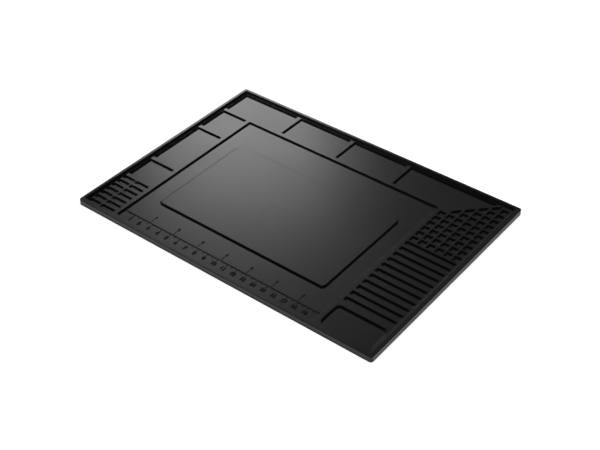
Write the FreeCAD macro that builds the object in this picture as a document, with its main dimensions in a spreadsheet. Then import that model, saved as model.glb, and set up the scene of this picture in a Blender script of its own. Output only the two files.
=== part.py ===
import FreeCAD, Part
import math
import os

import Sketcher
from FreeCAD import Vector

# A flat work mat with a moulded organiser tray.  Its four pieces are laminated from the table up:
#   base_sheet      backing ply, dished to hold the stiff core
#   core_sheet      stiff sheet that keeps the mat flat
#   tray_moulding   soft moulding with the rim, bays, cells, slots and a window
#   cutting_panel   self healing panel that fills the window and stands on the core
# The origin is on the table under the middle of the mat: +X along its length, +Y to the back, +Z up.
# Plan dimensions are measured from the mat's front left corner, so every one of them is positive.

SIZES = {
    # outline
    "overall_length": 298.0,
    "overall_width": 218.0,
    "corner_radius": 2.5,
    # heights, stacked from the table up
    "base_thickness": 1.4,
    "floor_thickness": 0.6,
    "ridge_height": 1.5,
    "rim_rise": 1.7,
    # rim
    "rim_top": 2.6,
    "rim_run": 2.9,
    "rim_edge_radius": 0.45,
    "side_ledge": 0.1,
    "right_ledge": 1.4,
    "front_ledge": 1.5,
    # walls round the bays
    "ridge_width": 3.7,
    "wall_run": 1.8,
    # left column of bays
    "left_column": 27.8,
    "left_front_bay": 27.3,
    "left_back_bay": 31.4,
    # back row of bays
    "back_row": 29.9,
    "corner_bay": 61.6,
    "middle_bay": 56.8,
    # grid of long cells in the front left corner
    "long_cell_ledge": 0.1,
    "long_cell_first": 11.8,
    "long_cell_depth": 4.3,
    "long_cell_rib": 2.4,
    "long_cell_middle_rib": 1.5,
    # right column: tray, slots and grid of square cells
    "right_column": 46.6,
    "pen_tray_depth": 25.65,
    "pen_tray_corner": 2.6,
    "pen_tray_ridge": 5.8,
    "row_back_ledge": 2.95,
    "slot_depth": 5.0,
    "cell_rib": 1.6,
    "cell_run": 1.4,
    "diagonal_side": 3.75,
    "diagonal_ridge": 2.2,
    # window and cutting panel
    "panel_left_margin": 16.4,
    "panel_right_margin": 15.1,
    "panel_front_margin": 32.4,
    "panel_back_margin": 32.8,
    "panel_height": 1.5,
    "panel_bevel": 1.5,
    "panel_corner": 4.0,
    "window_gap": 0.15,
    # stiff core in the base
    "core_thickness": 0.8,
    "core_margin": 6.0,
    "core_gap": 0.2,
    "core_corner": 3.0,
}

LONG_CELL_ROWS = 7
SLOTS = 11
FULL_ROWS = 6
COLUMNS = 6
DIAGONAL_CELLS = 4


def name_sizes(text):
    """Put the sheet's name before every alias in an expression."""
    words = text.replace("(", " ( ").replace(")", " ) ").split()
    return " ".join("Sizes." + word if word in SIZES else word for word in words)


# Levels above the table.
SEAM = name_sizes("base_thickness")
FLOOR = name_sizes("base_thickness + floor_thickness")
RIDGE = name_sizes("base_thickness + floor_thickness + ridge_height")
RIM = name_sizes("base_thickness + floor_thickness + ridge_height + rim_rise")

# Plan positions from the front left corner, at ridge level.
RIM_FOOT = name_sizes("rim_top + rim_run")
LEFT = name_sizes("rim_top + rim_run + side_ledge")
MAIN_LEFT = LEFT + name_sizes(" + left_column + ridge_width")
RIGHT_END = name_sizes("overall_length - ( rim_top + rim_run + right_ledge )")
COLUMN_LEFT = RIGHT_END + name_sizes(" - right_column")
MAIN_RIGHT = COLUMN_LEFT + name_sizes(" - ridge_width")
FRONT = name_sizes("rim_top + rim_run + front_ledge")
BACK_END = name_sizes("overall_width - ( rim_top + rim_run + side_ledge )")
ROW_FRONT = BACK_END + name_sizes(" - back_row")
MAIN_BACK = ROW_FRONT + name_sizes(" - ridge_width")

# Grid of long cells.
LONG_FRONT = RIM_FOOT + name_sizes(" + long_cell_ledge")
LONG_PITCH = name_sizes("( long_cell_depth + long_cell_rib )")
LONG_BACK = LONG_FRONT + f" + {LONG_CELL_ROWS - 1} * " + LONG_PITCH + name_sizes(" + long_cell_depth")

# Right column: the slots and the square cells stand on one pitch, which fills the depth of the tray.
SLOT_FRONT = FRONT + name_sizes(" + pen_tray_depth + pen_tray_ridge")
ROWS_DEPTH = f"( {BACK_END} - Sizes.row_back_ledge - Sizes.slot_depth - ( {SLOT_FRONT} ) )"
ROW_PITCH = f"( {ROWS_DEPTH} / {SLOTS + FULL_ROWS + DIAGONAL_CELLS - 1} )"
CELL_FRONT = f"{SLOT_FRONT} + {SLOTS - 1} * {ROW_PITCH} + Sizes.cell_rib + Sizes.slot_depth"
CELL_WIDTH = name_sizes(f"( ( right_column - {COLUMNS - 1} * cell_rib ) / {COLUMNS} )")
CELL_DEPTH = f"( {ROW_PITCH} - Sizes.cell_rib )"
COLUMN_PITCH = f"( {CELL_WIDTH} + Sizes.cell_rib )"


def make_sheet(doc):
    """Write the driving dimensions, one row each, with an alias on every value."""
    sheet = doc.addObject("Spreadsheet::Sheet", "Sizes")
    for row, (alias, value) in enumerate(SIZES.items(), start=1):
        sheet.set(f"A{row}", alias.replace("_", " "))
        sheet.set(f"B{row}", str(value))
        sheet.setAlias(f"B{row}", alias)
    doc.recompute()
    return sheet


def make_body(doc, label):
    body = doc.addObject("PartDesign::Body", label)
    body.Label = label
    return body


def make_sketch(body, name, level):
    """Start a horizontal sketch at a level, with its origin over the mat's front left corner."""
    planes = [item for item in body.Origin.OriginFeatures if item.Role == "XY_Plane"]
    sketch = body.newObject("Sketcher::SketchObject", name)
    sketch.AttachmentSupport = (planes[0], "")
    sketch.MapMode = "FlatFace"
    sketch.setExpression(".AttachmentOffset.Base.x", "-Sizes.overall_length / 2")
    sketch.setExpression(".AttachmentOffset.Base.y", "-Sizes.overall_width / 2")
    sketch.setExpression(".AttachmentOffset.Base.z", level)
    return sketch


def number(owner, expression):
    """Work out an expression as a plain number."""
    value = owner.evalExpression(expression)
    return float(getattr(value, "Value", value))


def bind(sketch, constraint, expression):
    """Add a dimension and tie it to an expression."""
    index = sketch.addConstraint(constraint)
    sketch.renameConstraint(index, f"d{index}")
    sketch.setExpression(f"Constraints.d{index}", expression)


def place_point(sketch, line, end, along, across):
    """Fix one end of a line by its distances from the sketch's origin."""
    bind(sketch, Sketcher.Constraint("DistanceX", -1, 1, line, end, number(sketch, along)), along)
    bind(sketch, Sketcher.Constraint("DistanceY", -1, 1, line, end, number(sketch, across)), across)


def draw_polygon(sketch, corners):
    """Draw a closed outline whose corners are pairs of expressions."""
    points = [Vector(number(sketch, x), number(sketch, y), 0) for x, y in corners]
    count = len(points)
    lines = [sketch.addGeometry(Part.LineSegment(points[i], points[(i + 1) % count])) for i in range(count)]
    for i, line in enumerate(lines):
        sketch.addConstraint(Sketcher.Constraint("Coincident", line, 2, lines[(i + 1) % count], 1))
        place_point(sketch, line, 1, *corners[i])


def draw_rectangle(sketch, left, right, front, back):
    draw_polygon(sketch, [(left, front), (right, front), (right, back), (left, back)])


def draw_rounded_rectangle(sketch, left, right, front, back, radius):
    """Draw a rectangle with four equal corner arcs, each tangent to its two sides."""
    x0, x1, y0, y1, r = [number(sketch, item) for item in (left, right, front, back, radius)]
    ends = [
        (Vector(x0 + r, y0, 0), Vector(x1 - r, y0, 0)),
        (Vector(x1, y0 + r, 0), Vector(x1, y1 - r, 0)),
        (Vector(x1 - r, y1, 0), Vector(x0 + r, y1, 0)),
        (Vector(x0, y1 - r, 0), Vector(x0, y0 + r, 0)),
    ]
    centres = [(x1 - r, y0 + r), (x1 - r, y1 - r), (x0 + r, y1 - r), (x0 + r, y0 + r)]
    sides = [sketch.addGeometry(Part.LineSegment(start, end)) for start, end in ends]
    arcs = []
    for i, (x, y) in enumerate(centres):
        circle = Part.Circle(Vector(x, y, 0), Vector(0, 0, 1), r)
        arcs.append(sketch.addGeometry(Part.ArcOfCircle(circle, (i - 1) * math.pi / 2, i * math.pi / 2)))
    for i in range(4):
        sketch.addConstraint(Sketcher.Constraint("Tangent", sides[i], 2, arcs[i], 1))
        sketch.addConstraint(Sketcher.Constraint("Tangent", arcs[i], 2, sides[(i + 1) % 4], 1))
    sketch.addConstraint(Sketcher.Constraint("Horizontal", sides[0]))
    sketch.addConstraint(Sketcher.Constraint("Vertical", sides[1]))
    sketch.addConstraint(Sketcher.Constraint("Horizontal", sides[2]))
    sketch.addConstraint(Sketcher.Constraint("Vertical", sides[3]))
    for arc in arcs[1:]:
        sketch.addConstraint(Sketcher.Constraint("Equal", arcs[0], arc))
    bind(sketch, Sketcher.Constraint("Radius", arcs[0], r), radius)
    bind(sketch, Sketcher.Constraint("DistanceY", -1, 1, sides[0], 1, y0), front)
    bind(sketch, Sketcher.Constraint("DistanceX", -1, 1, sides[1], 1, x1), right)
    bind(sketch, Sketcher.Constraint("DistanceY", -1, 1, sides[2], 1, y1), back)
    bind(sketch, Sketcher.Constraint("DistanceX", -1, 1, sides[3], 1, x0), left)


def pad(body, sketch, height):
    feature = body.newObject("PartDesign::Pad", sketch.Name.replace("outline", "pad"))
    feature.Profile = sketch
    feature.setExpression("Length", height)
    sketch.Visibility = False
    return feature


def pocket(body, sketch, depth, run="0"):
    """Cut down from a sketch, with walls that lean in by a run over the whole depth."""
    feature = body.newObject("PartDesign::Pocket", sketch.Name.replace("outline", "pocket"))
    feature.Profile = sketch
    feature.setExpression("Length", depth)
    feature.setExpression("TaperAngle", f"-atan( ( {run} ) / ( {depth} ) )")
    sketch.Visibility = False
    return feature


def repeat(body, feature, name, across=None, along=None):
    """Repeat a pocket in rows and columns: each direction is (count, pitch expression)."""
    pattern = body.newObject("PartDesign::LinearPattern", name)
    pattern.Originals = [feature]
    sketch = feature.Profile[0]
    first, second = (along, across) if along else (across, None)
    axes = ("H_Axis", "V_Axis") if along else ("V_Axis", None)
    pattern.Direction = (sketch, [axes[0]])
    pattern.Mode = "Spacing"
    pattern.Occurrences = first[0]
    pattern.setExpression("Offset", first[1])
    if second:
        pattern.Direction2 = (sketch, [axes[1]])
        pattern.Mode2 = "Spacing"
        pattern.Occurrences2 = second[0]
        pattern.Spacings2 = [-1.0] * (second[0] - 1)
        pattern.setExpression("Offset2", second[1])
    body.Tip = pattern
    return pattern


def outline_of_mat(sketch):
    draw_rounded_rectangle(
        sketch, "0", "Sizes.overall_length", "0", "Sizes.overall_width", "Sizes.corner_radius"
    )


def edges_at(shape, height):
    """Name the edges that lie flat at a height."""
    names = []
    for index, edge in enumerate(shape.Edges, start=1):
        box = edge.BoundBox
        if abs(box.ZMin - height) < 1e-4 and abs(box.ZMax - height) < 1e-4:
            names.append(f"Edge{index}")
    return names


def make_base(doc):
    """Backing ply: a full size sheet with a shallow recess for the core."""
    body = make_body(doc, "base_sheet")
    outline = make_sketch(body, "base_outline", "0")
    outline_of_mat(outline)
    pad(body, outline, SEAM)
    recess = make_sketch(body, "core_recess_outline", SEAM)
    margin = "Sizes.core_margin"
    draw_rounded_rectangle(
        recess,
        margin,
        f"Sizes.overall_length - {margin}",
        margin,
        f"Sizes.overall_width - {margin}",
        "Sizes.core_corner + Sizes.core_gap",
    )
    pocket(body, recess, "Sizes.core_thickness")
    return body


def make_core(doc):
    """Stiff sheet that lies in the base's recess, flush with the base's top."""
    body = make_body(doc, "core_sheet")
    outline = make_sketch(body, "core_outline", f"{SEAM} - Sizes.core_thickness")
    margin = "( Sizes.core_margin + Sizes.core_gap )"
    draw_rounded_rectangle(
        outline,
        margin,
        f"Sizes.overall_length - {margin}",
        margin,
        f"Sizes.overall_width - {margin}",
        "Sizes.core_corner",
    )
    pad(body, outline, "Sizes.core_thickness")
    return body


def cut_bays(body):
    """Large bays round the work area, and the work area itself, all down to the tray's floor."""
    sketch = make_sketch(body, "bays_outline", RIDGE)
    column = (LEFT, LEFT + " + Sizes.left_column")
    bay_1 = LONG_BACK + " + Sizes.ridge_width"
    bay_3 = MAIN_BACK + " - Sizes.left_back_bay"
    second = LEFT + " + Sizes.corner_bay + Sizes.ridge_width"
    third = second + " + Sizes.middle_bay + Sizes.ridge_width"
    boxes = [
        (*column, bay_1, bay_1 + " + Sizes.left_front_bay"),
        (*column, bay_1 + " + Sizes.left_front_bay + Sizes.ridge_width", bay_3 + " - Sizes.ridge_width"),
        (*column, bay_3, MAIN_BACK),
        (LEFT, LEFT + " + Sizes.corner_bay", ROW_FRONT, BACK_END),
        (second, second + " + Sizes.middle_bay", ROW_FRONT, BACK_END),
        (third, third + " + Sizes.middle_bay", ROW_FRONT, BACK_END),
        (MAIN_LEFT, MAIN_RIGHT, FRONT, MAIN_BACK),
    ]
    for box in boxes:
        draw_rectangle(sketch, *box)
    pocket(body, sketch, "Sizes.ridge_height", "Sizes.wall_run")

    tray = make_sketch(body, "pen_tray_outline", RIDGE)
    draw_rounded_rectangle(
        tray,
        COLUMN_LEFT,
        RIGHT_END,
        FRONT,
        FRONT + " + Sizes.pen_tray_depth",
        "Sizes.pen_tray_corner + Sizes.wall_run",
    )
    pocket(body, tray, "Sizes.ridge_height", "Sizes.wall_run")


def cut_diagonal_bay(body):
    """Last bay of the back row, which ends on the slanted ridge beside the square cells."""
    slope = f"( {COLUMN_PITCH} / {ROW_PITCH} )"
    first_x = f"{COLUMN_LEFT} + {COLUMN_PITCH}"
    first_y = f"{CELL_FRONT} + {FULL_ROWS} * {ROW_PITCH} + Sizes.diagonal_side"
    shift = f"Sizes.diagonal_ridge * sqrt( 1 + {slope} * {slope} )"
    left = LEFT + " + Sizes.corner_bay + 2 * Sizes.middle_bay + 3 * Sizes.ridge_width"
    front_x = f"{first_x} - {shift} + ( ( {ROW_FRONT} ) - ( {first_y} ) ) * {slope}"
    back_x = f"{first_x} - {shift} + ( ( {BACK_END} ) - ( {first_y} ) ) * {slope}"
    sketch = make_sketch(body, "diagonal_bay_outline", RIDGE)
    draw_polygon(sketch, [(left, ROW_FRONT), (front_x, ROW_FRONT), (back_x, BACK_END), (left, BACK_END)])
    pocket(body, sketch, "Sizes.ridge_height", "Sizes.wall_run")


def cut_long_cells(body):
    """Two columns of long narrow cells, repeated towards the back."""
    sketch = make_sketch(body, "long_cell_outline", RIDGE)
    split = LEFT + " + Sizes.long_cell_first"
    back = LONG_FRONT + " + Sizes.long_cell_depth"
    second = split + " + Sizes.long_cell_middle_rib"
    draw_rectangle(sketch, LEFT, split, LONG_FRONT, back)
    draw_rectangle(sketch, second, LEFT + " + Sizes.left_column", LONG_FRONT, back)
    cell = pocket(body, sketch, "Sizes.ridge_height", "Sizes.cell_run")
    repeat(body, cell, "long_cells", across=(LONG_CELL_ROWS, LONG_PITCH))


def cut_slots(body):
    """Parallel slots for small tools across the right column."""
    sketch = make_sketch(body, "slot_outline", RIDGE)
    draw_rectangle(sketch, COLUMN_LEFT, RIGHT_END, SLOT_FRONT, SLOT_FRONT + " + Sizes.slot_depth")
    slot = pocket(body, sketch, "Sizes.ridge_height", "Sizes.cell_run")
    repeat(body, slot, "slots", across=(SLOTS, ROW_PITCH))


def cut_cells(body):
    """Square cells: full rows first, then rows that lose one cell each along the slanted ridge."""
    sketch = make_sketch(body, "cell_outline", RIDGE)
    right = f"{COLUMN_LEFT} + {CELL_WIDTH}"
    draw_rectangle(sketch, COLUMN_LEFT, right, CELL_FRONT, f"{CELL_FRONT} + {CELL_DEPTH}")
    cell = pocket(body, sketch, "Sizes.ridge_height", "Sizes.cell_run")
    repeat(body, cell, "cells", across=(FULL_ROWS, ROW_PITCH), along=(COLUMNS, COLUMN_PITCH))

    rise = f"{CELL_WIDTH} * {ROW_PITCH} / {COLUMN_PITCH}"
    for step in range(DIAGONAL_CELLS):
        front = f"{CELL_FRONT} + {FULL_ROWS + step} * {ROW_PITCH}"
        left = f"{COLUMN_LEFT} + {step + 1} * {COLUMN_PITCH}"
        corners = [
            (left, front),
            (f"{left} + {CELL_WIDTH}", front),
            (
                f"{left} + {CELL_WIDTH}",
                f"min( {front} + Sizes.diagonal_side + {rise} ; {BACK_END} )",
            ),
            (left, f"{front} + Sizes.diagonal_side"),
        ]
        cut = make_sketch(body, f"cut_cell_{step + 1}_outline", RIDGE)
        draw_polygon(cut, corners)
        for column in range(step + 2, COLUMNS):
            start = f"{COLUMN_LEFT} + {column} * {COLUMN_PITCH}"
            draw_rectangle(cut, start, f"{start} + {CELL_WIDTH}", front, f"{front} + {CELL_DEPTH}")
        pocket(body, cut, "Sizes.ridge_height", "Sizes.cell_run")


def panel_box(margin):
    """Panel's foot in plan, grown on every side by a margin."""
    return (
        f"{MAIN_LEFT} + Sizes.panel_left_margin - {margin}",
        f"{MAIN_RIGHT} - Sizes.panel_right_margin + {margin}",
        f"{FRONT} + Sizes.panel_front_margin - {margin}",
        f"{MAIN_BACK} - Sizes.panel_back_margin + {margin}",
    )


def make_tray(doc):
    """Soft moulding: a rim round a well, and everything that is sunk into the well's floor."""
    body = make_body(doc, "tray_moulding")
    outline = make_sketch(body, "tray_outline", SEAM)
    outline_of_mat(outline)
    pad(body, outline, "Sizes.floor_thickness + Sizes.ridge_height + Sizes.rim_rise")

    well = make_sketch(body, "well_outline", RIM)
    edge = "Sizes.rim_top"
    draw_rectangle(
        well, edge, f"Sizes.overall_length - {edge}", edge, f"Sizes.overall_width - {edge}"
    )
    pocket(body, well, "Sizes.rim_rise", "Sizes.rim_run")

    cut_bays(body)
    cut_diagonal_bay(body)
    cut_long_cells(body)
    cut_slots(body)
    cut_cells(body)

    window = make_sketch(body, "window_outline", FLOOR)
    draw_rounded_rectangle(window, *panel_box("Sizes.window_gap"), "Sizes.panel_corner + Sizes.window_gap")
    cut = pocket(body, window, "Sizes.floor_thickness")
    doc.recompute()

    height = number(window, RIM)
    rounding = body.newObject("PartDesign::Fillet", "rim_rounding")
    rounding.Base = (cut, edges_at(cut.Shape, height))
    rounding.setExpression("Radius", "Sizes.rim_edge_radius")
    return body


def make_panel(doc):
    """Self healing panel: it stands on the core, fills the window and rises above the floor."""
    body = make_body(doc, "cutting_panel")
    outline = make_sketch(body, "panel_outline", SEAM)
    draw_rounded_rectangle(outline, *panel_box("0"), "Sizes.panel_corner")
    block = pad(body, outline, "Sizes.floor_thickness + Sizes.panel_height")
    doc.recompute()

    top = number(outline, f"{FLOOR} + Sizes.panel_height")
    bevel = body.newObject("PartDesign::Chamfer", "panel_bevel")
    bevel.Base = (block, edges_at(block.Shape, top))
    bevel.setExpression("Size", "Sizes.panel_bevel")
    return body


def check(doc, bodies):
    """Stop if any object failed, or if a piece is not one valid solid."""
    for item in doc.Objects:
        if "Invalid" in item.State or "Error" in item.State:
            raise RuntimeError(f"{item.Name} failed: {item.State}")
    for body in bodies:
        shape = body.Shape
        if shape.isNull() or not shape.isValid() or len(shape.Solids) != 1:
            raise RuntimeError(f"{body.Label} is not one valid solid")


def main():
    doc = FreeCAD.newDocument("organiser_mat")
    make_sheet(doc)
    bodies = [make_base(doc), make_core(doc), make_tray(doc), make_panel(doc)]
    doc.recompute()
    check(doc, bodies)
    os.makedirs("parts", exist_ok=True)
    for body in bodies:
        body.Shape.exportStep(f"parts/{body.Label}.step")
        box = body.Shape.BoundBox
        print(f"{body.Label}: volume {body.Shape.Volume:.1f} mm3, z {box.ZMin:.2f} to {box.ZMax:.2f}")


main()
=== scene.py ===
"""Self healing work mat with an organiser tray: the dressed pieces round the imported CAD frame.

The mat's sizes and places are written in millimetres: in plan from its front left corner, and heights from
the table.  They become metres when a piece is finished.
"""

import math

import bpy
import numpy as np
from mathutils import Matrix, Vector
from mathutils.geometry import delaunay_2d_cdt


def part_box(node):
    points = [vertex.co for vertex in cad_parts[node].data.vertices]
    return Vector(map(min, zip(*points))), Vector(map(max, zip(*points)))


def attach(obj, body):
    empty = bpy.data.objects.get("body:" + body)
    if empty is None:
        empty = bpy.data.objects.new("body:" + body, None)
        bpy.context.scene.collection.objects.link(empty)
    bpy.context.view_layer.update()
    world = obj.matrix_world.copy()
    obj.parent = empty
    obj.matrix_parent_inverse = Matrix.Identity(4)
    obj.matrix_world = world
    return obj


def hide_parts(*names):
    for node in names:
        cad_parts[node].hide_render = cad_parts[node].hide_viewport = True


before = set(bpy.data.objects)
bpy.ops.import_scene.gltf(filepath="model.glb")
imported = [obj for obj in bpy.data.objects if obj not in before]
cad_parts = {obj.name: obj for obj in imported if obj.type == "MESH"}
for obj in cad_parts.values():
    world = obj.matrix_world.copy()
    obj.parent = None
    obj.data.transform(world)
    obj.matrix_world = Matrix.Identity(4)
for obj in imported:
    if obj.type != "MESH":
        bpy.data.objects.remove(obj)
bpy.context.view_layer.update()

MM = 0.001
ORIGIN = np.array(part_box("tray_moulding")[0]) * (1, 1, 0)
LENGTH, WIDTH = [(b - a) / MM for a, b in zip(*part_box("tray_moulding"))][:2]

# Levels above the table.
FLOOR_THICKNESS = 0.6
RIDGE_HEIGHT = 1.5
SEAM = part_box("tray_moulding")[0].z / MM
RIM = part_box("tray_moulding")[1].z / MM
PANEL_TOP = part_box("cutting_panel")[1].z / MM
CORE_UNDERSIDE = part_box("core_sheet")[0].z / MM
FLOOR = SEAM + FLOOR_THICKNESS
RIDGE = FLOOR + RIDGE_HEIGHT

# Rim.
CORNER = 2.5
RIM_TOP = 2.6
RIM_RUN = 2.9
RIM_EDGE = 0.45
SIDE_LEDGE = 0.1
RIGHT_LEDGE = 1.4
FRONT_LEDGE = 1.5

# Bays and ridges.
RIDGE_WIDTH = 3.7
WALL_RUN = 1.8
LEFT_COLUMN = 27.8
LEFT_FRONT_BAY = 27.3
LEFT_BACK_BAY = 31.4
BACK_ROW = 29.9
CORNER_BAY = 61.6
MIDDLE_BAY = 56.8

# Long cells in the front left corner.
LONG_ROWS = 7
LONG_LEDGE = 0.1
LONG_FIRST = 11.8
LONG_DEPTH = 4.3
LONG_RIB = 2.4
LONG_MIDDLE_RIB = 1.5

# Right column: pen tray, tool slots, square cells and the cells that the slanted ridge cuts.
RIGHT_COLUMN = 46.6
PEN_TRAY_DEPTH = 25.65
PEN_TRAY_CORNER = 2.6
PEN_TRAY_RIDGE = 5.8
ROW_BACK_LEDGE = 2.95
SLOTS = 11
SLOT_DEPTH = 5.0
FULL_ROWS = 6
COLUMNS = 6
CUT_CELLS = 4
CELL_RIB = 1.6
CELL_RUN = 1.4
CUT_SIDE = 3.75
CUT_RIDGE = 2.2

# Panel and core, with the gaps round them.
PANEL_CORNER = 4.0
PANEL_BEVEL = 1.5
WINDOW_GAP = 0.15
CORE_CORNER = 3.0
CORE_GAP = 0.2

# Runs of the walls on the right and the front sides, which are steeper than the others.
RIM_STEEP = 1.2
WALL_STEEP = 1.1
CELL_STEEP = 1.0

# Roundings of the moulded edges, seen from the side.
RIM_LIP = 0.3
RIM_HEEL = 0.02
LIP = 0.06
FOOT = 0.06
PANEL_LIP = 0.3
PANEL_WAIST = 0.2
WINDOW_LIP = 0.12
SEAM_EDGE = 0.15
HIDDEN_EDGE = 0.08
RECESS_EDGE = 0.1

# Roundings of the pockets' corners, seen from above.
POCKET_CORNER = 0.3

# Steps in an arc: of a pocket, of another edge seen from the side, and of a wide corner seen from above.
POCKET_STEPS = 3
EDGE_STEPS = 5
CORNER_STEPS = 8

# A guard point's distance from the end of an arc, and the flat strips beside an edge: on top, underneath,
# round the window and round the core's recess.
GUARD = 0.01
TOP_STRIP = 0.6
UNDER_STRIP = 0.5
WINDOW_STRIP = 0.4
RECESS_STRIP = 0.3

# Wear of an edge that hands rub all day, of the window's lip, and of an edge that they seldom reach.
WORN = 1.0
WINDOW_WORN = 0.4
RUBBED = 0.3

# Flat fills: Blender's number for triangles inside the borders, and how near counts as the same point.
INSIDE_BORDERS = 1
SAME_POINT = 1e-7

# Plan positions.
RIM_FOOT = RIM_TOP + RIM_RUN
LEFT = RIM_FOOT + SIDE_LEDGE
MAIN_LEFT = LEFT + LEFT_COLUMN + RIDGE_WIDTH
RIGHT_END = LENGTH - RIM_FOOT - RIGHT_LEDGE
COLUMN_LEFT = RIGHT_END - RIGHT_COLUMN
MAIN_RIGHT = COLUMN_LEFT - RIDGE_WIDTH
FRONT = RIM_FOOT + FRONT_LEDGE
BACK_END = WIDTH - RIM_FOOT - SIDE_LEDGE
ROW_FRONT = BACK_END - BACK_ROW
MAIN_BACK = ROW_FRONT - RIDGE_WIDTH
LONG_PITCH = LONG_DEPTH + LONG_RIB
LONG_FRONT = RIM_FOOT + LONG_LEDGE
LONG_BACK = LONG_FRONT + (LONG_ROWS - 1) * LONG_PITCH + LONG_DEPTH
SLOT_FRONT = FRONT + PEN_TRAY_DEPTH + PEN_TRAY_RIDGE
ROWS_DEPTH = BACK_END - ROW_BACK_LEDGE - SLOT_DEPTH - SLOT_FRONT
ROW_PITCH = ROWS_DEPTH / (SLOTS + FULL_ROWS + CUT_CELLS - 1)
CELL_FRONT = SLOT_FRONT + (SLOTS - 1) * ROW_PITCH + SLOT_DEPTH + CELL_RIB
CELL_DEPTH = ROW_PITCH - CELL_RIB
CELL_WIDTH = (RIGHT_COLUMN - (COLUMNS - 1) * CELL_RIB) / COLUMNS
COLUMN_PITCH = CELL_WIDTH + CELL_RIB


class Shell:
    """Points, faces and edge wear of one closed mesh, gathered ring by ring."""

    def __init__(self):
        self.points = np.zeros((0, 3))
        self.wear = np.zeros(0)
        self.faces = []

    def add(self, points, wear):
        """Store a grid of points and give back the grid of their numbers."""
        first = len(self.points)
        self.points = np.vstack([self.points, points.reshape(-1, 3)])
        self.wear = np.concatenate([self.wear, np.broadcast_to(wear, points.shape[:-1]).ravel()])
        return first + np.arange(points[..., 0].size).reshape(points.shape[:-1])

    def skin(self, rings):
        """Quads between neighbouring rings: along a ring, then back along the next."""
        here, there = rings[:-1], rings[1:]
        quads = np.stack([here, np.roll(here, -1, 1), np.roll(there, -1, 1), there], -1)
        self.faces += quads.reshape(-1, 4).tolist()

    def bridge(self, ring, other):
        """Flat strip of quads between two rings of the same count."""
        self.skin(np.stack([ring, other]))

    def close(self, ring, upwards=True):
        """One flat face inside a ring."""
        self.faces.append((ring if upwards else ring[::-1]).tolist())

    def fill(self, outer, holes):
        """Flat fill inside one ring and outside others.

        It is made of constrained Delaunay triangles of their points, and keeps those that lie inside the
        outer border alone.
        """
        rings = [outer, *holes]
        numbers = np.concatenate(rings)
        ends = np.cumsum([0, *[len(ring) for ring in rings]])
        borders = [list(range(a, b)) for a, b in zip(ends, ends[1:])]
        places = [Vector(p) for p in self.points[numbers, :2]]
        filled = delaunay_2d_cdt(places, [], borders, INSIDE_BORDERS, SAME_POINT)
        _, _, triangles, sources, _, inside = filled
        kept = [tri for tri, owners in zip(triangles, inside) if owners == [0]]
        self.faces += [[int(numbers[sources[corner][0]]) for corner in tri] for tri in kept]

    def finish(self, name, material, slot, *nodes):
        """Make the mesh in metres, from the origin corner outwards, with its wear as an attribute."""
        mesh = bpy.data.meshes.new(name)
        mesh.from_pydata((ORIGIN + self.points * MM).tolist(), [], self.faces)
        mesh.attributes.new("wear", "FLOAT", "POINT").data.foreach_set("value", self.wear)
        return finish_piece(mesh, name, material, slot, *nodes)


def finish_piece(mesh, name, material, slot, *nodes):
    """Shade a mesh smooth, give it its material and its name, and ride it on the one body."""
    mesh.polygons.foreach_set("use_smooth", np.ones(len(mesh.polygons), bool))
    mesh.materials.append(material)
    mesh.validate()
    mesh.update()
    piece = bpy.data.objects.new(name, mesh)
    bpy.context.scene.collection.objects.link(piece)
    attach(piece, "root")
    if nodes:
        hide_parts(*nodes)
    return piece


def rectangle(left, right, front, back):
    """Corners of a rectangle, anticlockwise from the front left."""
    return np.array([(left, front), (right, front), (right, back), (left, back)], float)


def rounded_loop(corners, radius, steps=CORNER_STEPS, least=0.0, steep=1.0):
    """Path round a convex outline whose corners are arcs.

    For each unit of offset a side moves in by its own share: 1, or `steep` where it lies on the right or the
    front.  A corner's pull is where its two moved sides meet: for outward normals m and n with shares a and
    b, and c their dot product, it is ((a - bc) m + (b - ac) n) / (1 - cc).  Its reach is the same for equal
    shares of 1, which is how far an arc's centre moves in for each unit of radius.  The outward direction
    turns from one side's normal to the next one's in equal steps, and a guard point slides a little way
    along the side beyond each end of the arc, so that the walls are shaded flat.
    """
    along = np.roll(corners, -1, 0) - corners
    along /= np.linalg.norm(along, axis=1)[:, None]
    normal = np.stack([along[:, 1], -along[:, 0]], 1)
    share = np.where(normal @ (1, -1) > 0, steep, 1.0)[:, None]
    before, share_before = np.roll(normal, 1, 0), np.roll(share, 1, 0)
    dot = (before * normal).sum(1)[:, None]
    pull_before = (share_before - dot * share) * before
    pull_after = (share - dot * share_before) * normal
    pull = (pull_before + pull_after) / (1 - dot * dot)
    reach = (before + normal) / (1 + dot)
    start = np.arctan2(before[:, 1], before[:, 0])
    turn = (np.arctan2(normal[:, 1], normal[:, 0]) - start) % (2 * math.pi)
    angle = start[:, None] + turn[:, None] * np.clip(np.linspace(-1, steps + 1, steps + 3) / steps, 0, 1)
    direction = np.stack([np.cos(angle), np.sin(angle)], -1)
    slide = np.zeros_like(direction)
    slide[:, 0] = -GUARD * np.roll(along, 1, 0)
    slide[:, -1] = GUARD * along
    spread = [np.repeat(item, steps + 3, 0) for item in (corners, pull, reach)]
    return *spread, direction.reshape(-1, 2), slide.reshape(-1, 2), radius, least


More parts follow.
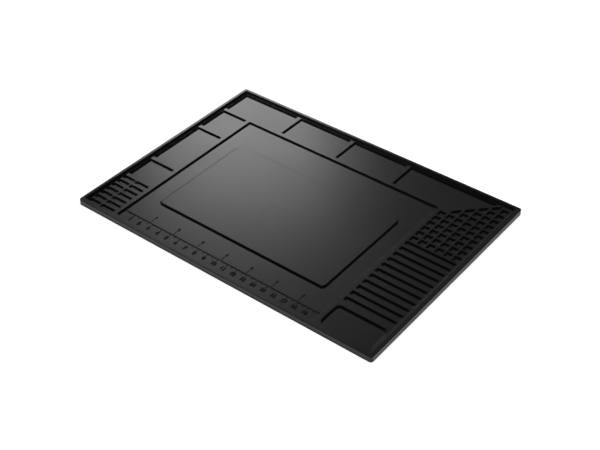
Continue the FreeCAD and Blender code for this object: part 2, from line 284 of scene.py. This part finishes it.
def rounded_profile(stations, steps=EDGE_STEPS):
    """Path through (inward offset, height, rounding radius, wear) with an arc at every inner station.

    An arc touches both straight runs at radius / tan(half the angle between them) from the corner, and its
    centre lies on the bisector, at radius / sin(half the angle).  The wear rises and falls along the arc as
    half a sine wave.  A guard point beside each end of an arc keeps the flats' shading flat.
    """
    stations = np.array(stations, float)
    rows = [[*stations[0, :2], 0]]
    for before, here, after in zip(stations, stations[1:], stations[2:]):
        back = (before - here)[:2] / np.linalg.norm((before - here)[:2])
        ahead = (after - here)[:2] / np.linalg.norm((after - here)[:2])
        half = math.acos(np.clip(back @ ahead, -1, 1)) / 2
        reach = here[2] / math.tan(half)
        middle = here[:2] + (back + ahead) / np.linalg.norm(back + ahead) * here[2] / math.sin(half)
        ends = here[:2] + np.array([back, ahead]) * reach - middle
        first, last = np.arctan2(ends[:, 1], ends[:, 0])
        turn = (last - first + math.pi) % (2 * math.pi) - math.pi
        angle = first + turn * np.linspace(0, 1, steps + 1)
        arc = middle + here[2] * np.stack([np.cos(angle), np.sin(angle)], 1)
        guards = here[:2] + np.array([back, ahead]) * (reach + GUARD)
        worn = here[3] * np.sin(np.linspace(0, math.pi, steps + 1))
        rows += [[*guards[0], 0], *np.column_stack([arc, worn]).tolist(), [*guards[1], 0]]
    return np.array([*rows, [*stations[-1, :2], 0]])


def sweep(shell, loop, profile):
    """Carry a profile round a loop.

    At an inward offset the corner arcs keep the larger of (radius - offset) and the least radius.  Each
    point is its corner, moved in by the offset times its pull and by the arc's radius times its reach, and
    then out by that radius in its own direction.
    """
    corner, pull, reach, direction, slide, radius, least = loop
    offset = profile[:, 0][:, None, None]
    arc = np.maximum(radius - offset, least)
    plan = corner - offset * pull - arc * reach + arc * direction + slide
    height = np.broadcast_to(profile[:, 1][:, None, None], (*plan.shape[:2], 1))
    rings = shell.add(np.concatenate([plan, height], -1), profile[:, 2][:, None])
    shell.skin(rings)
    return rings


def drop(top, bottom, run, lip, foot, steps=POCKET_STEPS):
    """Profile of a leaning wall: flat, over a rounded lip, down, round a soft foot and flat again.

    A rounding reaches radius * tan(half the wall's slope angle) along the flat, and the profile starts and
    ends two guard lengths beyond that.
    """
    half = math.atan2(top - bottom, run) / 2
    start = lip * math.tan(half) + 2 * GUARD
    end = run + foot * math.tan(half) + 2 * GUARD
    stations = [(-start, top, 0, 0), (0, top, lip, WORN), (run, bottom, foot, 0), (end, bottom, 0, 0)]
    return rounded_profile(stations, steps)


def sink(shell, corners, run, steep, radius=POCKET_CORNER, steps=POCKET_STEPS, closed=True):
    """Sink a pocket with leaning walls from ridge level to the floor; gives its outermost and last ring."""
    loop = rounded_loop(corners, radius, steps, POCKET_CORNER, steep / run)
    rings = sweep(shell, loop, drop(RIDGE, FLOOR, run, LIP, FOOT))
    if closed:
        shell.close(rings[-1])
    return rings[0], rings[-1]


def bay_outlines():
    """Bays of the left column and the back row, and the last one, whose right side is slanted.

    The slant leads from one cut cell to the next: a column's pitch across for each row's pitch back.
    """
    third = MAIN_BACK - LEFT_BACK_BAY
    first = LONG_BACK + RIDGE_WIDTH
    column = (LEFT, LEFT + LEFT_COLUMN)
    starts = LEFT + np.array([0, CORNER_BAY, CORNER_BAY + MIDDLE_BAY]) + RIDGE_WIDTH * np.arange(3)
    widths = (CORNER_BAY, MIDDLE_BAY, MIDDLE_BAY)
    boxes = [
        (*column, first, first + LEFT_FRONT_BAY),
        (*column, first + LEFT_FRONT_BAY + RIDGE_WIDTH, third - RIDGE_WIDTH),
        (*column, third, MAIN_BACK),
        *[(start, start + width, ROW_FRONT, BACK_END) for start, width in zip(starts, widths)],
    ]
    slope = COLUMN_PITCH / ROW_PITCH
    cut_x = COLUMN_LEFT + COLUMN_PITCH - CUT_RIDGE * math.hypot(1, slope)
    cut_y = CELL_FRONT + FULL_ROWS * ROW_PITCH + CUT_SIDE
    last = starts[2] + MIDDLE_BAY + RIDGE_WIDTH
    ends = [(cut_x + (y - cut_y) * slope, y) for y in (ROW_FRONT, BACK_END)]
    slanted = np.array([(last, ROW_FRONT), *ends, (last, BACK_END)])
    return [*[rectangle(*box) for box in boxes], slanted]


def cell_outlines():
    """Long cells, tool slots, square cells and the cells that the slanted ridge cuts.

    Past the full rows each row starts one column later, with a cell that is short on its left side and runs
    back along the slant on its right.
    """
    split = LEFT + LONG_FIRST
    halves = ((LEFT, split), (split + LONG_MIDDLE_RIB, LEFT + LEFT_COLUMN))
    fronts = LONG_FRONT + LONG_PITCH * np.arange(LONG_ROWS)
    found = [rectangle(*half, y, y + LONG_DEPTH) for y in fronts for half in halves]
    fronts = SLOT_FRONT + ROW_PITCH * np.arange(SLOTS)
    found += [rectangle(COLUMN_LEFT, RIGHT_END, y, y + SLOT_DEPTH) for y in fronts]
    lefts = COLUMN_LEFT + COLUMN_PITCH * np.arange(COLUMNS)
    for row in range(FULL_ROWS + CUT_CELLS):
        y = CELL_FRONT + row * ROW_PITCH
        cut = max(row - FULL_ROWS + 1, 0)
        whole = lefts[cut + 1 :] if cut else lefts
        found += [rectangle(x, x + CELL_WIDTH, y, y + CELL_DEPTH) for x in whole]
        if cut:
            outline = rectangle(lefts[cut], lefts[cut] + CELL_WIDTH, y, y + CUT_SIDE)
            outline[2, 1] = min(outline[2, 1] + CELL_WIDTH * ROW_PITCH / COLUMN_PITCH, BACK_END)
            found.append(outline)
    return found


def node_outline(node, gap=0.0):
    """Rectangle round a CAD node's box in plan, wider by a gap on every side."""
    low, high = [(np.array(corner) - ORIGIN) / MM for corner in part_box(node)]
    return rectangle(low[0] - gap, high[0] + gap, low[1] - gap, high[1] + gap)


def make_moulding(material):
    """Soft moulding: from its underside up round the rim, down to the ridges and into each pocket."""
    shell = Shell()
    mat = rectangle(0, LENGTH, 0, WIDTH)
    outside = rounded_profile(
        [
            (UNDER_STRIP, SEAM, 0, 0),
            (0, SEAM, SEAM_EDGE, RUBBED),
            (0, RIM, RIM_EDGE, WORN),
            (TOP_STRIP, RIM, 0, 0),
        ]
    )
    wall = sweep(shell, rounded_loop(mat, CORNER), outside)
    brow = RIM_FOOT - RIM_STEEP
    well = rectangle(RIM_TOP, LENGTH - brow, brow, WIDTH - RIM_TOP)
    well_loop = rounded_loop(well, POCKET_CORNER, POCKET_STEPS, POCKET_CORNER, RIM_STEEP / RIM_RUN)
    inside = sweep(shell, well_loop, drop(RIM, RIDGE, RIM_RUN, RIM_LIP, RIM_HEEL, EDGE_STEPS))
    shell.fill(wall[-1], [inside[0]])

    tray = rectangle(COLUMN_LEFT, RIGHT_END, FRONT, FRONT + PEN_TRAY_DEPTH)
    tray_corner = PEN_TRAY_CORNER + WALL_RUN
    work_area = rectangle(MAIN_LEFT, MAIN_RIGHT, FRONT, MAIN_BACK)
    lips = [sink(shell, tray, WALL_RUN, WALL_STEEP, tray_corner, CORNER_STEPS)[0]]
    lips += [sink(shell, bay, WALL_RUN, WALL_STEEP)[0] for bay in bay_outlines()]
    lips += [sink(shell, cell, CELL_RUN, CELL_STEEP)[0] for cell in cell_outlines()]
    lip, floor = sink(shell, work_area, WALL_RUN, WALL_STEEP, closed=False)
    shell.fill(inside[-1], [*lips, lip])

    hole = rounded_profile(
        [
            (-WINDOW_STRIP, FLOOR, 0, 0),
            (0, FLOOR, WINDOW_LIP, WINDOW_WORN),
            (0, SEAM, HIDDEN_EDGE, 0),
            (-WINDOW_STRIP, SEAM, 0, 0),
        ]
    )
    opening = node_outline("cutting_panel", WINDOW_GAP)
    window = sweep(shell, rounded_loop(opening, PANEL_CORNER + WINDOW_GAP), hole)
    shell.fill(floor, [window[0]])
    shell.bridge(window[-1], wall[0])
    return shell.finish("organiser_moulding", material, "moulding", "tray_moulding")


def make_panel(material):
    """Self healing panel: a slab with a leaning edge, from its underside up to its face."""
    shell = Shell()
    edge = rounded_profile(
        [
            (WINDOW_STRIP, SEAM, 0, 0),
            (0, SEAM, HIDDEN_EDGE, 0),
            (0, PANEL_TOP - PANEL_BEVEL, PANEL_WAIST, RUBBED),
            (PANEL_BEVEL, PANEL_TOP, PANEL_LIP, WORN),
            (PANEL_BEVEL + TOP_STRIP, PANEL_TOP, 0, 0),
        ]
    )
    rings = sweep(shell, rounded_loop(node_outline("cutting_panel"), PANEL_CORNER), edge)
    shell.close(rings[0], upwards=False)
    shell.close(rings[-1])
    return shell.finish("healing_panel", material, "panel", "cutting_panel")


def make_backing(material):
    """Backing ply with a shallow recess for the stiff core."""
    shell = Shell()
    edge = rounded_profile(
        [
            (UNDER_STRIP, 0, 0, 0),
            (0, 0, SEAM_EDGE, RUBBED),
            (0, SEAM, SEAM_EDGE, RUBBED),
            (UNDER_STRIP, SEAM, 0, 0),
        ]
    )
    wall = sweep(shell, rounded_loop(rectangle(0, LENGTH, 0, WIDTH), CORNER), edge)
    shell.close(wall[0], upwards=False)
    step = rounded_profile(
        [
            (-RECESS_STRIP, SEAM, 0, 0),
            (0, SEAM, RECESS_EDGE, 0),
            (0, CORE_UNDERSIDE, RECESS_EDGE, 0),
            (RECESS_STRIP, CORE_UNDERSIDE, 0, 0),
        ]
    )
    dish = sweep(shell, rounded_loop(node_outline("core_sheet", CORE_GAP), CORE_CORNER + CORE_GAP), step)
    shell.bridge(wall[-1], dish[0])
    shell.close(dish[-1])
    return shell.finish("backing_ply", material, "backing", "base_sheet")


# Ruler moulded along the front of the work area: centimetres in front of its base line, inches behind it.
RULER_LINE = 16.6
RULER_HEIGHT = 0.28
RULER_SINK = 0.05
LINE_HALF_WIDTH = 0.5
TICK_GAP = 0.6
CENTIMETRE = 10.0
CENTIMETRES = 20
CENTIMETRE_ZERO = 39.3
CENTIMETRE_TICK = 2.2
HALF_TICK = 1.4
TICK_HALF_WIDTH = 0.35
INCH = 25.4
INCHES = 7
INCH_ZERO = 39.9
INCH_TICK = 5.4
INCH_TICK_HALF_WIDTH = 0.25

# Edge of a raised bar: how far it leans in, the rounding of its lip and the rounding of its corners.
BAR_LEAN = 0.08
BAR_LIP = 0.07
BAR_CORNER = 0.18
BAR_STEPS = 2

# Height of the numbers, and where the middle of one lies, across and back from its mark on the base line.
CENTIMETRE_NUMBER = 5.0
CENTIMETRE_NUMBER_PLACE = (0.0, -6.1)
INCH_NUMBER = 3.0
INCH_NUMBER_PLACE = (0.1, 8.0)

# How much a number's strokes are thickened, the bevel of its edge and the steps in its curves.
NUMBER_STROKE = 0.3
NUMBER_EDGE = 0.03
NUMBER_STEPS = 3


def raise_bar(shell, left, right, front, back):
    """Low bar standing on the floor: a small leaning edge with a rounded lip, carried round a rectangle."""
    foot = FLOOR - RULER_SINK
    top = FLOOR + RULER_HEIGHT
    stations = [(0, foot, 0, 0), (BAR_LEAN, top, BAR_LIP, WORN), (2 * BAR_LEAN, top, 0, 0)]
    edge = rounded_profile(stations, BAR_STEPS)
    rings = sweep(shell, rounded_loop(rectangle(left, right, front, back), BAR_CORNER, BAR_STEPS), edge)
    shell.close(rings[0], upwards=False)
    shell.close(rings[-1])


def make_ruler_marks(material):
    """Long base line, a tick every half centimetre in front of it and one every inch behind it."""
    shell = Shell()
    end = CENTIMETRE_ZERO + CENTIMETRE * CENTIMETRES
    raise_bar(shell, CENTIMETRE_ZERO, end, RULER_LINE - LINE_HALF_WIDTH, RULER_LINE + LINE_HALF_WIDTH)
    front = RULER_LINE - TICK_GAP
    for half in range(1, 2 * CENTIMETRES):
        x = CENTIMETRE_ZERO + CENTIMETRE * half / 2
        length = CENTIMETRE_TICK if half % 2 == 0 else HALF_TICK
        raise_bar(shell, x - TICK_HALF_WIDTH, x + TICK_HALF_WIDTH, front - length, front)
    back = RULER_LINE + TICK_GAP
    for inch in range(1, INCHES + 1):
        x = INCH_ZERO + INCH * inch
        raise_bar(shell, x - INCH_TICK_HALF_WIDTH, x + INCH_TICK_HALF_WIDTH, back, back + INCH_TICK)
    return shell.finish("ruler_marks", material, "moulding")


def raise_numbers(name, count, zero, pitch, size, place, material):
    """Plain numbers from 1 standing on the floor, each its outline thickened and raised to a shallow block.

    The nth number's middle lies n pitches from the scale's zero along the base line, plus its place.
    """
    points, faces, first = [], [], 0
    level = FLOOR + (RULER_HEIGHT - RULER_SINK) / 2
    for number in range(1, count + 1):
        text = bpy.data.curves.new(name, "FONT")
        text.body = str(number)
        text.size = size * MM
        text.align_x = "CENTER"
        text.align_y = "CENTER"
        text.extrude = (RULER_HEIGHT + RULER_SINK) / 2 * MM
        text.offset = NUMBER_STROKE * MM
        text.bevel_depth = NUMBER_EDGE * MM
        text.resolution_u = NUMBER_STEPS
        holder = bpy.data.objects.new(name, text)
        solid = bpy.data.meshes.new_from_object(holder)
        shape = np.zeros(len(solid.vertices) * 3)
        solid.vertices.foreach_get("co", shape)
        middle = (zero + pitch * number + place[0], RULER_LINE + place[1], level)
        points.append(ORIGIN + shape.reshape(-1, 3) + np.array(middle) * MM)
        faces += [[first + corner for corner in face.vertices] for face in solid.polygons]
        first += len(solid.vertices)
        bpy.data.objects.remove(holder)
        bpy.data.curves.remove(text)
        bpy.data.meshes.remove(solid)
    mesh = bpy.data.meshes.new(name)
    mesh.from_pydata(np.vstack(points).tolist(), [], faces)
    mesh.attributes.new("wear", "FLOAT", "POINT")
    return finish_piece(mesh, name, material, "moulding")


def make_numbers(material):
    """Centimetre numbers up to the last whole one before the line's end, and inch numbers."""
    scale = (CENTIMETRES - 1, CENTIMETRE_ZERO, CENTIMETRE)
    raise_numbers("ruler_numbers", *scale, CENTIMETRE_NUMBER, CENTIMETRE_NUMBER_PLACE, material)
    scale = (INCHES, INCH_ZERO, INCH)
    raise_numbers("ruler_inch_numbers", *scale, INCH_NUMBER, INCH_NUMBER_PLACE, material)


class Finish:
    """Node material round one Principled surface, with short calls for the nodes that feed it."""

    def __init__(self, name):
        self.material = bpy.data.materials.new(name)
        self.material.use_nodes = True
        self.tree = self.material.node_tree
        self.surface = self.tree.nodes["Principled BSDF"]
        self.place = self.tree.nodes.new("ShaderNodeTexCoord").outputs["Object"]

    def put(self, socket, value):
        """Link another node's output to a socket, or write a plain value into it."""
        if isinstance(value, bpy.types.NodeSocket):
            self.tree.links.new(value, socket)
        else:
            socket.default_value = value

    def add(self, kind, output=0, settings=None, **inputs):
        """Make a node with its settings and inputs, and give back one of its outputs."""
        made = self.tree.nodes.new("ShaderNode" + kind)
        for key, value in (settings or {}).items():
            setattr(made, key, value)
        for key, value in inputs.items():
            self.put(made.inputs[key.replace("_", " ")], value)
        return made.outputs[output]

    def noise(self, scale, detail=2.0, roughness=0.5):
        """Noise on the piece's own coordinates; the scale counts its cells in a metre."""
        return self.add("TexNoise", Vector=self.place, Scale=scale, Detail=detail, Roughness=roughness)

    def remap(self, value, low, high, to_low, to_high):
        """Stretch a value from one range to another, held at both ends."""
        made = self.tree.nodes.new("ShaderNodeMapRange")
        self.put(made.inputs[0], value)
        for socket, number in zip(list(made.inputs)[1:5], (low, high, to_low, to_high)):
            socket.default_value = number
        return made.outputs[0]

    def combine(self, operation, first, second):
        """One of the Math node's operations on two values."""
        made = self.tree.nodes.new("ShaderNodeMath")
        made.operation = operation
        self.put(made.inputs[0], first)
        self.put(made.inputs[1], second)
        return made.outputs[0]

    def blend(self, factor, first, second):
        """Mix of two colours: the first at a factor of 0, the second at 1."""
        made = self.tree.nodes.new("ShaderNodeMix")
        made.data_type = "RGBA"
        self.put(made.inputs["Factor"], factor)
        colours = [socket for socket in made.inputs if socket.type == "RGBA"]
        self.put(colours[0], first)
        self.put(colours[1], second)
        return [socket for socket in made.outputs if socket.type == "RGBA"][0]

    def bump(self, height, distance, under=None):
        """Normal of a surface raised by a height from 0 to 1 times a distance, on top of another bump."""
        made = self.tree.nodes.new("ShaderNodeBump")
        made.inputs["Strength"].default_value = 1.0
        made.inputs["Distance"].default_value = distance
        self.put(made.inputs["Height"], height)
        if under is not None:
            self.put(made.inputs["Normal"], under)
        return made.outputs[0]

    def set(self, **inputs):
        """Set or link the Principled surface's inputs."""
        for key, value in inputs.items():
            self.put(self.surface.inputs[key.replace("_", " ")], value)


# Linear colours: the two tones that each black clouds between, and those of the core.
RUBBER_TONES = (0.0018, 0.0019, 0.0021), (0.0026, 0.0027, 0.003)
FOAM_TONES = (0.007, 0.007, 0.0075), (0.01, 0.01, 0.0105)
CORE_TONES = (0.32, 0.33, 0.34), (0.40, 0.41, 0.42)

# The noise reaches about from 0.3 to 0.7, which the clouding spreads over its whole range.
NOISE_LOW = 0.3
NOISE_HIGH = 0.7

# A worn edge takes half of a tone this much lighter, and is a little glossier.
WORN_SHARE = 0.5
WORN_LIGHTER = 2.2
WORN_SMOOTHER = 0.03

# Heights in metres: the grain of each finish, and the long soft waves that a moulded sheet has.
RUBBER_GRAIN = 0.000002
RELIEF_GRAIN = 0.000004
FOAM_GRAIN = 0.00001
PLASTIC_GRAIN = 0.00001
WAVE_HEIGHT = 0.00001


def black_rubber(name, tones, smooth, rough, grain, shine=0.5):
    """Moulded black rubber: faint clouding, a fine grain, long soft waves, and edges polished by use.

    The clouds blend the two tones and the two roughnesses, and the wear pulls the tone up and the roughness
    down.  The grain's bump lies on the waves'.
    """
    finish = Finish(name)
    dark, light = tones
    clouds = finish.noise(scale=22.0, detail=4.0, roughness=0.6)
    grains = finish.noise(scale=2400.0, detail=3.0, roughness=0.6)
    waves = finish.noise(scale=34.0, detail=1.0)
    worn = finish.add("Attribute", "Fac", {"attribute_name": "wear"})
    clouding = finish.remap(clouds, NOISE_LOW, NOISE_HIGH, 0.0, 1.0)
    tone = finish.blend(clouding, (*dark, 1), (*light, 1))
    lighter = (*[WORN_LIGHTER * part for part in light], 1)
    gloss = finish.remap(clouds, NOISE_LOW, NOISE_HIGH, smooth, rough)
    finish.set(
        Base_Color=finish.blend(finish.combine("MULTIPLY", worn, WORN_SHARE), tone, lighter),
        Roughness=finish.combine("SUBTRACT", gloss, finish.combine("MULTIPLY", worn, WORN_SMOOTHER)),
        Normal=finish.bump(grains, grain, under=finish.bump(waves, WAVE_HEIGHT)),
        Specular_IOR_Level=shine,
    )
    return finish.material


def pale_plastic():
    """Stiff plastic of the core: pale grey with a faint mottle and a fine grain."""
    finish = Finish("core_plastic")
    dark, light = CORE_TONES
    mottle = finish.noise(scale=60.0, detail=3.0)
    finish.set(
        Base_Color=finish.blend(mottle, (*dark, 1), (*light, 1)),
        Roughness=finish.remap(mottle, NOISE_LOW, NOISE_HIGH, 0.42, 0.55),
        Normal=finish.bump(finish.noise(scale=1800.0), PLASTIC_GRAIN),
    )
    return finish.material


# Stage: how far the floor is lifted towards full white near the mat and as the mat mirrors it, and the
# distances in metres between which the lift grows to the whole.
FLOOR_TONE = 0.8
NEAR_LIFT = 0.5
MIRRORED_LIFT = 0.35
LIFT_START = 0.3
LIFT_END = 1.6


def make_floor_white():
    """White for the stage: lit as written, and lifted towards full white where it is seen or mirrored.

    The lift grows with the distance from the mat, so that the floor keeps the mat's soft shadow and stays
    white far away.
    """
    finish = Finish("floor_white")
    finish.set(Base_Color=(FLOOR_TONE, FLOOR_TONE, FLOOR_TONE, 1), Roughness=1.0, Specular_IOR_Level=0.0)
    path = finish.tree.nodes.new("ShaderNodeLightPath").outputs
    mirrored = finish.combine("MULTIPLY", path["Is Glossy Ray"], MIRRORED_LIFT)
    seen = finish.combine("MAXIMUM", path["Is Camera Ray"], mirrored)
    seen = finish.combine("MAXIMUM", seen, path["Is Transmission Ray"])
    distance = finish.add("VectorMath", "Value", {"operation": "LENGTH"}, Vector=finish.place)
    lift = finish.remap(distance, LIFT_START, LIFT_END, NEAR_LIFT, 1.0)
    finish.set(Emission_Color=(1, 1, 1, 1), Emission_Strength=finish.combine("MULTIPLY", seen, lift))
    return finish.material


def make_stage():
    """Round white floor that turns up at its far edge: a profile of distances and heights round a circle."""
    distance = np.array([0.0, 0.8, 2.0, 5.0, 7.0, 7.5, 7.85, 8.0, 8.0])
    height = np.array([0.0, 0.0, 0.0, 0.0, 0.0, 0.07, 0.28, 0.7, 1.7])
    sides = 96
    angle = np.linspace(0, 2 * math.pi, sides, endpoint=False)
    ring = np.stack([np.cos(angle), np.sin(angle)], 1)
    plan = distance[1:, None, None] * ring
    level = np.broadcast_to(height[1:, None, None], (*plan.shape[:2], 1))
    points = np.concatenate([plan, level], -1).reshape(-1, 3)
    numbers = np.arange(len(points)).reshape(len(distance) - 1, -1)
    here, there = numbers[:-1], numbers[1:]
    quads = np.stack([here, there, np.roll(there, -1, 1), np.roll(here, -1, 1)], -1).reshape(-1, 4)
    mesh = bpy.data.meshes.new("floor")
    mesh.from_pydata(points.tolist(), [], [numbers[0].tolist(), *quads.tolist()])
    mesh.materials.append(make_floor_white())
    floor = bpy.data.objects.new("floor", mesh)
    bpy.context.scene.collection.objects.link(floor)


def make_lamp(name, azimuth, elevation, distance, width, height, glow):
    """Rectangular soft box facing the mat; its power is glow times pi times its area.

    Its azimuth is counted in degrees clockwise from the mat's back, seen from above, and its distance and
    its sides are in metres.
    """
    a, e = math.radians(azimuth), math.radians(elevation)
    towards = Vector((math.sin(a) * math.cos(e), math.cos(a) * math.cos(e), math.sin(e)))
    data = bpy.data.lights.new(name, "AREA")
    data.shape = "RECTANGLE"
    data.size = width
    data.size_y = height
    data.energy = glow * math.pi * width * height
    lamp = bpy.data.objects.new(name, data)
    bpy.context.scene.collection.objects.link(lamp)
    lamp.location = towards * distance
    lamp.rotation_mode = "QUATERNION"
    lamp.rotation_quaternion = (-towards).to_track_quat("-Z", "Y")
    lamp.visible_camera = False
    return lamp


def make_light():
    """A soft box behind the left corner, pale screens behind it and on the left, and a broad fill above.

    The fill doesn't show in the gloss: it sets how light a colour looks, while the soft box and the screens
    draw the sheen.
    """
    room = 0.02
    world = bpy.data.worlds.new("room")
    world.use_nodes = True
    world.node_tree.nodes["Background"].inputs["Color"].default_value = (room, room, room, 1)
    bpy.context.scene.world = world
    make_lamp("soft_box", azimuth=-41.8, elevation=32, distance=4.0, width=0.78, height=0.74, glow=5.5)
    make_lamp("screen", azimuth=-30, elevation=38, distance=5.0, width=4.0, height=3.0, glow=0.17)
    make_lamp("left_screen", azimuth=-95, elevation=50, distance=5.0, width=4.0, height=3.0, glow=0.1)
    make_lamp("low_screen", azimuth=-135, elevation=15, distance=5.0, width=4.0, height=1.6, glow=0.12)
    fill = make_lamp("overhead", azimuth=142, elevation=80, distance=2.6, width=2.2, height=2.2, glow=3.6)
    fill.visible_glossy = False


def make_camera():
    """Long lens from the front right, above.  Its axes are its right, its up and the reverse of its view."""
    place = Vector((0.45205, -0.59241, 0.59066))
    right = Vector((0.7914, 0.6113, 0.0081)).normalized()
    forward = Vector((-0.46992, 0.61605, -0.63216)).normalized()
    up = right.cross(forward).normalized()
    data = bpy.data.cameras.new("camera")
    data.sensor_width = 36.0
    data.lens = 68.37
    camera = bpy.data.objects.new("camera", data)
    bpy.context.scene.collection.objects.link(camera)
    camera.matrix_world = Matrix.Translation(place) @ Matrix((right, up, -forward)).transposed().to_4x4()
    bpy.context.scene.camera = camera


def main():
    bpy.context.scene.view_settings.view_transform = "Standard"
    moulded = black_rubber("moulded_rubber", RUBBER_TONES, smooth=0.23, rough=0.25, grain=RUBBER_GRAIN)
    healing = black_rubber("panel_rubber", RUBBER_TONES, smooth=0.23, rough=0.25, grain=RUBBER_GRAIN)
    foam = black_rubber("backing_foam", FOAM_TONES, smooth=0.5, rough=0.62, grain=FOAM_GRAIN, shine=0.25)
    relief = black_rubber("ruler_relief", RUBBER_TONES, smooth=0.56, rough=0.62, grain=RELIEF_GRAIN)
    make_moulding(moulded)
    make_panel(healing)
    make_backing(foam)
    make_ruler_marks(relief)
    make_numbers(relief)
    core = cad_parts["core_sheet"]
    core.data.materials.clear()
    core.data.materials.append(pale_plastic())
    make_stage()
    make_light()
    make_camera()


main()
